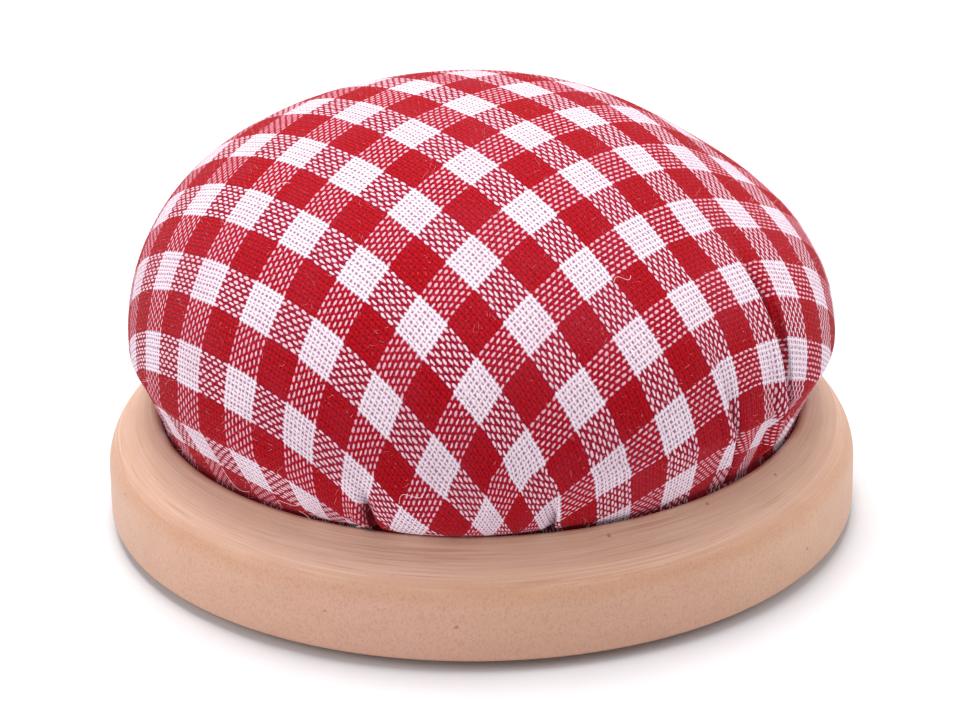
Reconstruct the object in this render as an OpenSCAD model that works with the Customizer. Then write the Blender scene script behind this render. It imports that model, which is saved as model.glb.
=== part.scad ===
/* [Base] */
// Diameter of the turned wooden base
base_d = 80; // [60:1:110]
// Height of the upright side of the base, up to the corner that the fillet rounds off
base_wall_h = 8.2; // [7:0.1:9.5]
// Height of the base at the inner edge of its sloping rim
base_rim_h = 11.8; // [10.5:0.1:15]
// Width of the sloping rim, seen from above
rim_w = 4.7; // [3:0.1:8]
// Radius that rounds the corner between the side and the sloping rim
rim_fillet_r = 5.7; // [1:0.1:6]
// Radius of the soft edges at the foot and at the mouth of the recess
soft_edge_r = 0.6; // [0.2:0.1:1]
// Thickness of wood left under the recess
floor_t = 6.5; // [5:0.1:7]

/* [Felt pad] */
// How far the felt pad stays in from the side of the base
pad_margin = 5; // [1:0.5:15]
// Thickness of the felt pad
pad_t = 1; // [0.5:0.1:3]

/* [Cushion] */
// How far the widest part of the cushion stands out past the mouth of the recess
cushion_overhang = 3; // [0.5:0.1:4]
// Height of the cushion's widest part above the rim
belly_h = 7.3; // [4:0.1:12]
// Height of the crown above the widest part
crown_h = 25.9; // [12:0.1:40]
// Thickness of the gingham
cover_t = 0.45; // [0.3:0.05:0.8]
// Thickness of the calico inner bag
bag_t = 0.3; // [0.2:0.05:0.6]
// Clearance left between one soft piece and the next
soft_gap = 0.1; // [0.05:0.01:0.3]
// Width of cover that is turned in under the backing disc
cover_hem_w = 13; // [6:0.5:20]
// Width of inner bag that is turned in under the backing disc
bag_hem_w = 9; // [4:0.5:14]

/* [Backing disc and screw] */
// Thickness of the plywood backing disc
disc_t = 5; // [4.5:0.1:8]
// Length of the countersunk screw
screw_l = 12; // [11:0.5:14]
// Diameter of the screw thread
screw_d = 3.5; // [3:0.1:4]
// Diameter of the screw head
screw_head_d = 7; // [6:0.1:8]
// Pitch of the screw thread
screw_pitch = 1.2; // [0.8:0.1:1.6]

/* [Gathering thread] */
// Diameter of the gathering thread
thread_d = 0.5; // [0.3:0.05:0.6]

/* [Hidden] */
$fn = 96;

// Heights, all measured from the table
base_z = pad_t;
rim_z = base_z + base_rim_h;
recess_z = base_z + floor_t;
belly_z = rim_z + belly_h;

// Radii of the base
base_r = base_d / 2;
recess_r = base_r - rim_w;

// Slope of the rim above the horizontal, and how far its fillet reaches along both faces
rim_slope = atan2(base_rim_h - base_wall_h, rim_w);
fillet_reach = rim_fillet_r * tan((90 - rim_slope) / 2);
arc_steps = 10;

// Outside of the cushion: its belly, and its drum-shaped foot inside the recess
belly_r = recess_r + cushion_overhang;
foot_r = recess_r - soft_gap;
foot_edge_r = 2.2;
dome_steps = 40;
flank_steps = 10;

// How deep each soft layer starts inside the outside of the cushion
bag_inset = cover_t + soft_gap;
stuffing_inset = bag_inset + bag_t + soft_gap;

// Backing disc, resting on the turned-in hems of the cover and the inner bag
disc_z = recess_z + stuffing_inset;
disc_r = foot_r - stuffing_inset - soft_gap;
disc_edge_r = 1.2;

// Screw
head_sunk = 0.2;
screw_z = base_z + head_sunk;
screw_r = screw_d / 2;
thread_depth = 0.45;
thread_flat = 0.15;
screw_core_r = screw_r - thread_depth;
screw_head_r = screw_head_d / 2;
head_rim_t = 0.4;
head_h = head_rim_t + screw_head_r - screw_r;
screw_tip_h = 2.4;
neck_h = 0.3;
hole_clearance = 0.15;
drive_slot_l = 3.6;
drive_slot_w = 0.8;
drive_depth = 1.4;

// Gathering thread, drawn up round the inner edge of the cover's hem
thread_r = thread_d / 2;
thread_ring_r = foot_r - cover_hem_w - thread_r - soft_gap;
thread_lift = 0.03;
knot_r = stuffing_inset / 2 - thread_lift;

// Points on an arc round (cx, cz), from angle a0 to angle a1
function arc(cx, cz, r, a0, a1, steps = arc_steps) =
    [for (i = [0 : steps]) let (a = a0 + (a1 - a0) * i / steps) [cx + r * cos(a), cz + r * sin(a)]];

// Outside of the cushion, moved inwards by d: from the crown down to the belly,
// in to the mouth of the recess, down the recess and in under the backing disc
function dome(d) =
    [for (i = [0 : dome_steps])
        let (a = 90 - 90 * i / dome_steps)
        [(belly_r - d) * cos(a), belly_z + (crown_h - d) * sin(a)]];
function flank(d) =
    [for (i = [1 : flank_steps])
        let (a = 90 * i / flank_steps)
        [foot_r - d + (belly_r - foot_r) * cos(a), belly_z - belly_h * sin(a)]];
function foot(d) =
    arc(foot_r - foot_edge_r, recess_z + foot_edge_r, foot_edge_r - d, 0, -90, 6);
function reversed(points) = [for (i = [len(points) - 1 : -1 : 0]) points[i]];

// Turned base: side, rounded corner, sloping rim and the recess for the cushion
module base_profile() {
    corner_z = base_z + base_wall_h - fillet_reach;
    polygon(concat(
        [[0, base_z]],
        arc(base_r - soft_edge_r, base_z + soft_edge_r, soft_edge_r, -90, 0, 4),
        arc(base_r - rim_fillet_r, corner_z, rim_fillet_r, 0, 90 - rim_slope),
        arc(recess_r + soft_edge_r, rim_z - soft_edge_r, soft_edge_r, 90 - rim_slope, 180, 4),
        [[recess_r, recess_z], [0, recess_z]]
    ));
}

module wooden_base() {
    color([0.84, 0.68, 0.57])
    difference() {
        rotate_extrude() base_profile();
        translate([0, 0, base_z - 1])
            cylinder(h = floor_t + 2, r = screw_r + hole_clearance);
        translate([0, 0, base_z])
            cylinder(h = head_sunk + head_rim_t, r = screw_head_r + hole_clearance);
        translate([0, 0, screw_z + head_rim_t])
            cylinder(
                h = head_h - head_rim_t,
                r1 = screw_head_r + hole_clearance,
                r2 = screw_r + hole_clearance
            );
    }
}

module felt_pad() {
    color([0.34, 0.30, 0.28])
        cylinder(h = pad_t, r = base_r - pad_margin);
}

// One ridge of the screw's thread, standing on the core
function thread_ridge(z) = [
    [screw_core_r, z + thread_flat],
    [screw_r, z + screw_pitch / 2],
    [screw_core_r, z + screw_pitch - thread_flat]
];

// Solid outline of the screw: countersunk head, threaded core and gimlet point
module screw_body() {
    tip_z = screw_z + screw_l;
    thread_top = tip_z - screw_tip_h;
    first_ridge = screw_z + head_h + neck_h;
    ridges = floor((thread_top - first_ridge) / screw_pitch);
    rotate_extrude()
        polygon(concat(
            [
                [0, screw_z],
                [screw_head_r, screw_z],
                [screw_head_r, screw_z + head_rim_t],
                [screw_r, screw_z + head_h],
                [screw_core_r, screw_z + head_h + neck_h]
            ],
            [for (i = [0 : ridges - 1]) each thread_ridge(first_ridge + i * screw_pitch)],
            [[screw_core_r, thread_top], [0, tip_z]]
        ));
}

module fixing_screw() {
    color([0.74, 0.74, 0.76])
    difference() {
        screw_body();
        for (turn = [0, 90])
            rotate([0, 0, turn])
                translate([-drive_slot_l / 2, -drive_slot_w / 2, screw_z - 1])
                    cube([drive_slot_l, drive_slot_w, drive_depth + 1]);
    }
}

// Plywood disc that the cover is drawn round; the screw has cut its own thread in it
module backing_disc() {
    color([0.80, 0.66, 0.46])
    difference() {
        rotate_extrude()
            polygon(concat(
                [[0, disc_z]],
                arc(disc_r - disc_edge_r, disc_z + disc_edge_r, disc_edge_r, -90, 0, 5),
                arc(disc_r - disc_edge_r, disc_z + disc_t - disc_edge_r, disc_edge_r, 0, 90, 5),
                [[0, disc_z + disc_t]]
            ));
        screw_body();
    }
}

module stuffing() {
    stuffing_z = disc_z + disc_t + soft_gap;
    color([0.93, 0.91, 0.87])
    rotate_extrude()
        intersection() {
            polygon(concat(
                dome(stuffing_inset),
                flank(stuffing_inset),
                [[0, rim_z]]
            ));
            translate([0, stuffing_z])
                square([base_d, base_d]);
        }
}

// Closed skin between two depths under the outside of the cushion, turned in by a hem
module skin(inset, thickness, hem_w) {
    hem_r = foot_r - hem_w;
    rotate_extrude()
        polygon(concat(
            dome(inset),
            flank(inset),
            foot(inset),
            [[hem_r, recess_z + inset], [hem_r, recess_z + inset + thickness]],
            reversed(foot(inset + thickness)),
            reversed(flank(inset + thickness)),
            reversed(dome(inset + thickness))
        ));
}

module inner_bag() {
    color([0.90, 0.87, 0.80])
        skin(bag_inset, bag_t, bag_hem_w);
}

module gingham_cover() {
    color([0.78, 0.22, 0.26])
        skin(0, cover_t, cover_hem_w);
}

module gathering_thread() {
    color([0.92, 0.90, 0.86])
    union() {
        translate([0, 0, recess_z + thread_lift + thread_r])
            rotate_extrude()
                translate([thread_ring_r, 0])
                    circle(r = thread_r, $fn = 24);
        translate([thread_ring_r - knot_r, 0, recess_z + thread_lift + knot_r])
            sphere(r = knot_r, $fn = 32);
    }
}

wooden_base();
felt_pad();
fixing_screw();
backing_disc();
stuffing();
inner_bag();
gingham_cover();
gathering_thread();
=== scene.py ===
"""A gingham pin cushion on a turned wooden base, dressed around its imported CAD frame."""

import math
from collections import namedtuple

import bpy
import numpy as np
from mathutils import Matrix, Vector


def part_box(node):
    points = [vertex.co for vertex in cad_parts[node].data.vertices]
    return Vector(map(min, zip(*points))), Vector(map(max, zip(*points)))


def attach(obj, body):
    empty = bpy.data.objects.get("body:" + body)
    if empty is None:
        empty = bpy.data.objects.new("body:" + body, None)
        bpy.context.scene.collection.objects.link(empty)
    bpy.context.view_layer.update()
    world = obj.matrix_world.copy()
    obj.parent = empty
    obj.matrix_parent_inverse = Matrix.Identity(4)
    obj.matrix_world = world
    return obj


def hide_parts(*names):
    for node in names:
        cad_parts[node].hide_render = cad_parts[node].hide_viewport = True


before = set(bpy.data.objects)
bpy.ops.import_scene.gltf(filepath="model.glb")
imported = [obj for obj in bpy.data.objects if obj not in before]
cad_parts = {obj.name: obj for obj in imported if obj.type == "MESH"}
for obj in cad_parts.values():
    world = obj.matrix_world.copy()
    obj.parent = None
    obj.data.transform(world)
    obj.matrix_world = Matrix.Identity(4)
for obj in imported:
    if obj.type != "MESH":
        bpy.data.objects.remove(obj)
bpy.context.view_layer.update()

MM = 0.001
FULL_TURN = 2 * math.pi

# Places taken from the CAD frame
BASE_LOW, BASE_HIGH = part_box("wooden_base")
COVER_LOW, COVER_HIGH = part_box("gingham_cover")
BASE_Z = BASE_LOW.z
RIM_Z = BASE_HIGH.z
BASE_R = BASE_HIGH.x
BELLY_R = COVER_HIGH.x
RECESS_Z = COVER_LOW.z

# ---- camera and light

VIEW_ELEVATION = math.radians(25.95)
VIEW_DISTANCE = 406 * MM
VIEW_ROLL = math.radians(-0.91)
AIM_ABOVE_BASE = 15.5 * MM
LENS = 138.2
SENSOR = 36.0

SKY_COLOUR = (0.93, 0.96, 1.0, 1)
SKY_STRENGTH = 0.38
LAMP_COLOUR = (1.0, 0.98, 0.96)
LAMP_TARGET = Vector((0, 0, 20 * MM))
FLOOR_SIDE = 3.0

# Square area lights that point at the cushion
Softbox = namedtuple("Softbox", "name place size power")
SOFTBOXES = (
    Softbox("overhead", (-0.04, 0.16, 0.75), 0.50, 7.4),
    Softbox("left_side", (-0.56, -0.28, 0.36), 0.45, 1.8),
    Softbox("right_side", (0.62, -0.02, 0.34), 0.45, 1.5),
    Softbox("front_fill", (-0.10, -0.85, 0.40), 0.60, 0.5),
)


def add_camera():
    """The camera looks down at the cushion from the front, through a long lens."""
    base = Vector((0, 0, BASE_Z))
    away = Vector((0, -math.cos(VIEW_ELEVATION), math.sin(VIEW_ELEVATION)))
    place = base + away * VIEW_DISTANCE
    forward = (base + Vector((0, 0, AIM_ABOVE_BASE)) - place).normalized()
    level = forward.cross(Vector((0, 0, 1))).normalized()
    upright = level.cross(forward)
    right = level * math.cos(VIEW_ROLL) + upright * math.sin(VIEW_ROLL)
    up = right.cross(forward)
    data = bpy.data.cameras.new("camera")
    data.lens = LENS
    data.sensor_width = SENSOR
    data.clip_start = 0.01
    camera = bpy.data.objects.new("camera", data)
    bpy.context.scene.collection.objects.link(camera)
    turn = Matrix((right, up, -forward)).transposed()
    camera.matrix_world = Matrix.Translation(place) @ turn.to_4x4()
    bpy.context.scene.camera = camera


def add_softbox(box):
    data = bpy.data.lights.new(box.name, "AREA")
    data.size = box.size
    data.energy = box.power
    data.color = LAMP_COLOUR
    light = bpy.data.objects.new(box.name, data)
    bpy.context.scene.collection.objects.link(light)
    light.location = box.place
    light.rotation_euler = (LAMP_TARGET - Vector(box.place)).to_track_quat("-Z", "Y").to_euler()


def add_floor():
    corners = [(x * FLOOR_SIDE, y * FLOOR_SIDE, 0) for x, y in ((-1, -1), (1, -1), (1, 1), (-1, 1))]
    add_mesh("floor", corners, [(0, 1, 2, 3)], floor_material())


def add_studio():
    """Soft overhead light, weak fill from the front, and a plain pale floor."""
    scene = bpy.context.scene
    scene.view_settings.view_transform = "Standard"
    scene.world = bpy.data.worlds.new("studio")
    scene.world.use_nodes = True
    background = scene.world.node_tree.nodes["Background"]
    background.inputs["Color"].default_value = SKY_COLOUR
    background.inputs["Strength"].default_value = SKY_STRENGTH
    for box in SOFTBOXES:
        add_softbox(box)
    add_floor()


# ---- small helpers


def turned(angle):
    """The same angle, in radians, from -pi to pi."""
    return np.angle(np.exp(1j * angle))


def smooth(value, low, high):
    """0 up to low, 1 from high on, with a soft rise between them."""
    share = np.clip((value - low) / (high - low), 0, 1)
    return share * share * (3 - 2 * share)


def unit(vectors):
    return vectors / np.maximum(np.linalg.norm(vectors, axis=-1, keepdims=True), 1e-12)


def even_turns(count):
    """Angles of count points spaced evenly round a circle."""
    return np.arange(count) * (FULL_TURN / count)


def arc(cr, cz, radius, start, end, steps):
    """Points (r, z) on an arc round (cr, cz), from start to end in degrees."""
    angles = np.radians(np.linspace(start, end, steps + 1))
    return [(cr + radius * math.cos(a), cz + radius * math.sin(a)) for a in angles]


def turned_ring(radius, z, columns):
    """A level ring of points round the axis; radius may differ from point to point."""
    turn = even_turns(columns)
    return np.stack([radius * np.cos(turn), radius * np.sin(turn), np.full(columns, z)], 1)


def ring_faces(first, second, count):
    """Quads between two rings of count points that start at first and second."""
    return [
        (first + i, second + i, second + (i + 1) % count, first + (i + 1) % count)
        for i in range(count)
    ]


def add_mesh(name, vertices, faces, material):
    mesh = bpy.data.meshes.new(name)
    mesh.from_pydata([tuple(v) for v in vertices], [], faces)
    mesh.materials.append(material)
    mesh.polygons.foreach_set("use_smooth", [True] * len(mesh.polygons))
    mesh.update()
    piece = bpy.data.objects.new(name, mesh)
    bpy.context.scene.collection.objects.link(piece)
    return piece


def lathe(name, profile, columns, material):
    """A ring-shaped solid turned from the (r, z) points of its closed outline."""
    rings = [turned_ring(r, z, columns) for r, z in profile]
    faces = []
    for ring in range(len(rings)):
        faces += ring_faces(((ring + 1) % len(rings)) * columns, ring * columns, columns)
    return add_mesh(name, np.concatenate(rings), faces, material)


def solid_cap(name, rings, top, bottom, material):
    """A closed mesh from rings, with a point that closes each end."""
    count = len(rings[0])
    vertices = np.concatenate([[top], *rings, [bottom]])
    faces = [(0, 1 + i, 1 + (i + 1) % count) for i in range(count)]
    for ring in range(len(rings) - 1):
        faces += ring_faces(1 + ring * count, 1 + (ring + 1) * count, count)
    last, end = 1 + (len(rings) - 1) * count, len(vertices) - 1
    faces += [(last + i, end, last + (i + 1) % count) for i in range(count)]
    return add_mesh(name, vertices, faces, material)


def sweep(path, radius, sides, closed=False, plies=0, pitch=1 * MM):
    """Vertices and faces of a tube along a path; plies groove it like twisted thread."""
    path = np.asarray(path)
    forward = np.roll(path, -1, 0) - np.roll(path, 1, 0)
    if not closed:
        forward[0], forward[-1] = path[1] - path[0], path[-1] - path[-2]
    forward = unit(forward)
    side = unit(np.cross(forward, (0.12, 0.08, 1.0)))
    up = np.cross(side, forward)
    steps = np.linalg.norm(np.diff(path, axis=0), axis=1)
    length = np.concatenate([[0], np.cumsum(steps)])
    angle = even_turns(sides)
    radius = np.broadcast_to(radius, (len(path),))[:, None]
    twist = length[:, None] / pitch * FULL_TURN
    groove = 0.86 + 0.14 * np.cos(plies * (angle[None] - twist)) if plies else np.ones((1, sides))
    across = side[:, None] * np.cos(angle)[:, None] + up[:, None] * np.sin(angle)[:, None]
    vertices = (path[:, None] + (radius * groove)[..., None] * across).reshape(-1, 3)
    faces = []
    for step in range(len(path) - (0 if closed else 1)):
        faces += ring_faces(step * sides, ((step + 1) % len(path)) * sides, sides)
    return vertices, faces


# ---- material helpers


def srgb(red, green, blue):
    """An 8-bit sRGB colour as linear RGBA."""
    def linear(value):
        share = value / 255
        return share / 12.92 if share <= 0.04045 else ((share + 0.055) / 1.055) ** 2.4
    return (linear(red), linear(green), linear(blue), 1.0)


class Wire:
    """A value that a shader works out, for use in plain arithmetic."""

    def __init__(self, nodes, socket):
        self.nodes = nodes
        self.socket = socket

    def __add__(self, other):
        return self.nodes.math("ADD", self, other)

    def __sub__(self, other):
        return self.nodes.math("SUBTRACT", self, other)

    def __rsub__(self, other):
        return self.nodes.math("SUBTRACT", other, self)

    def __mul__(self, other):
        return self.nodes.math("MULTIPLY", self, other)

    def __truediv__(self, other):
        return self.nodes.math("DIVIDE", self, other)


class Nodes:
    """Short calls that add shader nodes to one material and join them."""

    def __init__(self, name):
        self.material = bpy.data.materials.new(name)
        self.material.use_nodes = True
        self.tree = self.material.node_tree
        self.shader = self.tree.nodes["Principled BSDF"]

    def put(self, socket, value):
        if isinstance(value, Wire):
            self.tree.links.new(value.socket, socket)
        else:
            socket.default_value = value

    def add(self, kind, inputs, **settings):
        """A new node with these settings and inputs; gives all its outputs."""
        node = self.tree.nodes.new("ShaderNode" + kind)
        for name, value in settings.items():
            setattr(node, name, value)
        for key, value in inputs.items():
            self.put(node.inputs[key], value)
        return [Wire(self, socket) for socket in node.outputs]

    def math(self, operation, *values):
        return self.add("Math", dict(enumerate(values)), operation=operation)[0]

    def mix(self, share, first, second):
        """Colour first where share is 0, second where it is 1."""
        return self.add("Mix", {0: share, 6: first, 7: second}, data_type="RGBA")[2]

    def ramp(self, value, low, high, out_low=0.0, out_high=1.0):
        values = enumerate((value, low, high, out_low, out_high))
        return self.add("MapRange", dict(values), interpolation_type="SMOOTHSTEP")[0]

    def noise(self, vector, scale=1.0, detail=2.0, roughness=0.5):
        return self.noises(vector, scale, detail, roughness)[0]

    def noises(self, vector, scale=1.0, detail=2.0, roughness=0.5):
        """The value and the colour of a noise."""
        inputs = {"Vector": vector, "Scale": scale, "Detail": detail, "Roughness": roughness}
        return self.add("TexNoise", inputs)

    def speckle(self, number):
        """A random value from 0 to 1 that is the same wherever number is the same."""
        return self.add("TexWhiteNoise", {"W": number}, noise_dimensions="1D")[0]

    def cells(self, vector, scale):
        return self.add("TexVoronoi", {"Vector": vector, "Scale": scale})[0]

    def combine(self, x, y, z=0.0):
        return self.add("CombineXYZ", {0: x, 1: y, 2: z})[0]

    def separate(self, vector):
        return self.add("SeparateXYZ", {0: vector})

    def place(self):
        """The point on the piece, in the row frame, in metres."""
        return self.add("TexCoord", {})[3]

    def uv(self, name):
        return self.add("UVMap", {}, uv_map=name)[0]

    def attribute(self, name):
        return self.add("Attribute", {}, attribute_name=name)[2]

    def bump(self, height, distance, strength):
        inputs = {"Strength": strength, "Distance": distance, "Height": height}
        self.put(self.shader.inputs["Normal"], self.add("Bump", inputs)[0])

    def finish(self, colour, roughness, others=()):
        for name, value in {"Base Color": colour, "Roughness": roughness, **dict(others)}.items():
            self.put(self.shader.inputs[name], value)
        return self.material


# ---- shape of the cushion

CROWN_H = 26.0 * MM  # crown above the widest part
BELLY_ABOVE_RIM = 7.5 * MM
BELLY_Z = RIM_Z + BELLY_ABOVE_RIM
CROWN_SHIFT = -2.3 * MM  # the filling leans to the left
SHOULDER = 2.1  # 2 is an ellipse, more is squarer
MOUTH_R = 34.7 * MM  # mouth of the recess as seen: a little tighter than the plain solid
FOOT_R = 34.6 * MM  # cushion where it enters the recess
FOOT_EDGE_R = 2.2 * MM
HEM_R = 22.2 * MM

# The cloth bulges over the rim round this azimuth, and runs down more straightly elsewhere
BULGE_AZIMUTH = math.radians(-98)
BULGE_SPREAD = math.radians(28)
BULGE_POWER = 0.92
FLANK_STRAIGHT = 1.2

# Hollows and swellings in the filling; angles and spreads in degrees
Lump = namedtuple("Lump", "azimuth latitude round up height")
LUMPS = (
    Lump(0, 43, 55, 15, -1.2 * MM),
    Lump(0, 8, 55, 16, 0.15 * MM),
    Lump(180, 5, 55, 20, -0.5 * MM),
    Lump(70, 30, 35, 18, 0.5 * MM),
    Lump(120, 50, 30, 16, -0.4 * MM),
)

# Tucks that take up spare cloth: azimuth at the rim, how far the top end leans round, where
# the top end is (0 crown, 1 rim), cloth hidden at the rim, depth, which edge laps over,
# whether the tuck lies flat or opens into a groove, how dark the painted shadow along the
# crease beside it is, and how far its lower end bends round
Tuck = namedtuple("Tuck", "azimuth lean start hidden depth lap flat crease bend", defaults=(0.0, 0))
TUCKS = (
    Tuck(-37.4, 13, 0.50, 4.4 * MM, 1.2 * MM, 1, False, 0.8, 5),
    Tuck(-48.6, 0, 0.62, 4.0 * MM, 0.7 * MM, 1, True, 0.0, 4),
    Tuck(-78.0, -3, 0.86, 2.4 * MM, 0.8 * MM, -1, True),
    Tuck(-108.8, 0, 0.84, 2.6 * MM, 1.3 * MM, 1, False),
    Tuck(44.0, 4, 0.58, 3.4 * MM, 1.0 * MM, -1, False),
    Tuck(60.0, -3, 0.74, 2.2 * MM, 0.8 * MM, 1, True),
    Tuck(98.0, 3, 0.85, 1.8 * MM, 0.8 * MM, -1, True),
    Tuck(136.0, -4, 0.60, 3.2 * MM, 1.1 * MM, 1, False),
    Tuck(151.0, 2, 0.78, 2.0 * MM, 0.7 * MM, -1, True),
)
LEAN_SPREAD = math.radians(24)
BEND_START = 0.80
TUCK_GROWTH = 0.42  # a tuck hides all its cloth this far below its top end


def lump_height(azimuth, latitude):
    height = 0.0
    for lump in LUMPS:
        across = turned(azimuth - math.radians(lump.azimuth)) / math.radians(lump.round)
        upward = (latitude - math.radians(lump.latitude)) / math.radians(lump.up)
        height = height + lump.height * np.exp(-across**2 - upward**2)
    return height


def dome_points(azimuth, latitude):
    """Outside of the cushion above its widest part; latitude is 90 degrees at the crown."""
    up = np.sin(latitude)
    out = np.cos(latitude) ** (2 / SHOULDER)
    tilt = unit(np.stack([np.cos(latitude) * CROWN_H, up * BELLY_R], -1))
    height = lump_height(azimuth, latitude)
    r = BELLY_R * out + height * tilt[..., 0]
    z = BELLY_Z + CROWN_H * up + height * tilt[..., 1]
    shift = CROWN_SHIFT * up**1.5
    return np.stack([r * np.cos(azimuth) + shift, r * np.sin(azimuth), z], -1)


def flank_points(azimuth, belly, down):
    """Between the widest part (down = 0) and the mouth of the recess (down = 90 degrees)."""
    belly_r = np.hypot(belly[..., 0], belly[..., 1])
    from_bulge = turned(azimuth - BULGE_AZIMUTH) / BULGE_SPREAD
    power = BULGE_POWER + FLANK_STRAIGHT * (1 - np.exp(-from_bulge**2))
    r = FOOT_R + (belly_r - FOOT_R) * np.cos(down) ** power
    z = RIM_Z + (belly[..., 2] - RIM_Z) * (1 - np.sin(down) ** power)
    return np.stack([r * np.cos(azimuth), r * np.sin(azimuth), z], -1)


def meridian(azimuth, rows):
    """Points from the crown to the rim along one or more azimuths, evenly spaced."""
    latitudes = np.radians(np.linspace(90, 0, 91))
    downs = np.radians(np.linspace(0, 90, 37))[1:]
    downs[-1] -= 1e-7  # keeps the last cosine above zero
    upper = dome_points(azimuth[None], latitudes[:, None])
    lower = flank_points(azimuth[None], upper[-1:], downs[:, None])
    line = np.concatenate([upper, lower])
    steps = np.linalg.norm(np.diff(line, axis=0), axis=-1)
    length = np.concatenate([np.zeros((1, len(azimuth))), np.cumsum(steps, 0)])
    share = length / length[-1]
    out = np.empty((len(rows), len(azimuth), 3))
    for column in range(len(azimuth)):
        for axis in range(3):
            out[:, column, axis] = np.interp(rows, share[:, column], line[:, column, axis])
    return out


# ---- how the cloth lies

CHECK = 4.40 * MM
WARP_ANGLE = math.radians(-50)
SHEAR_STIFFNESS = 0.10
SQUASH_STIFFNESS = 0.30  # yarns crowd together more easily than they stretch
BEND_STIFFNESS = 0.01
LAYOUT_COLUMNS = 96
LAYOUT_ROWS = 36
LAYOUT_STEPS = 400
CELL = FULL_TURN / LAYOUT_COLUMNS


def tuck_columns():
    """The layout cell that each tuck runs down."""
    cell = 360 / LAYOUT_COLUMNS
    return [int(math.floor(tuck.azimuth / cell)) % LAYOUT_COLUMNS for tuck in TUCKS]


def tuck_middles():
    """Turn of each tuck's line: the middle of its layout cell."""
    return (np.array(tuck_columns()) + 0.5) * CELL


def tuck_azimuths(rows):
    """Azimuth of each tuck's line at each row, in radians: tucks x rows."""
    lines = []
    for tuck in TUCKS:
        left = (1 - rows) / (1 - tuck.start)
        fade = 1 - smooth(left, 1.0, 1.9)
        away = tuck.lean * np.minimum(left, 1.1) ** 2 * fade
        away = away + tuck.bend * smooth(rows, BEND_START, 1.0)
        lines.append(np.radians(tuck.azimuth + away))
    return np.array(lines)


def lean_columns(turn, rows):
    """Azimuth of the columns at turn, row by row, bent so that each tuck follows a column."""
    middles = tuck_middles()
    wanted = turned(tuck_azimuths(rows) - middles[:, None])
    near = np.exp(-(turned(middles[:, None] - middles[None]) / LEAN_SPREAD) ** 2)
    weights = np.linalg.solve(near, wanted)
    reach = np.exp(-(turned(turn[None] - middles[:, None]) / LEAN_SPREAD) ** 2)
    return turn[None] + np.einsum("kr,kc->rc", weights, reach)


def hidden_cloth(rows):
    """Cloth that each tuck hides at each row, in metres: tucks x rows."""
    return np.array([
        tuck.hidden * smooth(rows, tuck.start, min(1.0, tuck.start + TUCK_GROWTH)) for tuck in TUCKS
    ])


def grid_triangles():
    """Triangles of the layout: point 0 is the crown, then rows of columns."""
    triangles = []
    for row in range(LAYOUT_ROWS):
        for column in range(LAYOUT_COLUMNS):
            following = (column + 1) % LAYOUT_COLUMNS
            low = 1 + row * LAYOUT_COLUMNS
            high = low - LAYOUT_COLUMNS
            if row == 0:
                triangles.append((0, low + column, low + following))
                continue
            a, b = high + column, low + column
            c, d = low + following, high + following
            flip = (row + column) % 2
            triangles += [(a, b, c), (a, c, d)] if flip else [(a, b, d), (b, c, d)]
    return np.array(triangles)


def spare_widths(triangles, rows):
    """How much hidden cloth widens each corner of the cells that the tucks run down, in checks."""
    row_of = np.where(triangles > 0, (triangles - 1) // LAYOUT_COLUMNS + 1, 0)
    column_of = (triangles - 1) % LAYOUT_COLUMNS
    extra = np.zeros(triangles.shape)
    for column, hidden in zip(tuck_columns(), hidden_cloth(rows) / CHECK):
        following = (column + 1) % LAYOUT_COLUMNS
        in_cell = np.isin(column_of, (column, following)) | (triangles == 0)
        ends = (column_of == column).any(1) & (column_of == following).any(1)
        far = (column_of == following) & (in_cell.all(1) & ends)[:, None] & (triangles > 0)
        extra += np.where(far, hidden[row_of], 0)
    return extra


def flattened_edges(points, triangles, extra):
    """Two edges of each triangle, laid flat: round the cushion and down it."""
    a, b, c = (points[triangles[:, corner]] for corner in range(3))
    normal = unit(np.cross(b - a, c - a))
    centre = (a + b + c) / 3
    around = np.stack([-centre[:, 1], centre[:, 0], np.zeros(len(centre))], 1)
    around = unit(around - normal * np.sum(around * normal, 1, keepdims=True))
    down = np.cross(normal, around)
    edges = np.empty((len(triangles), 2, 2))
    for number, (edge, corner) in enumerate(((b - a, 1), (c - a, 2))):
        edges[:, 0, number] = np.sum(edge * around, 1) + extra[:, corner] - extra[:, 0]
        edges[:, 1, number] = np.sum(edge * down, 1)
    return edges


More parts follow.
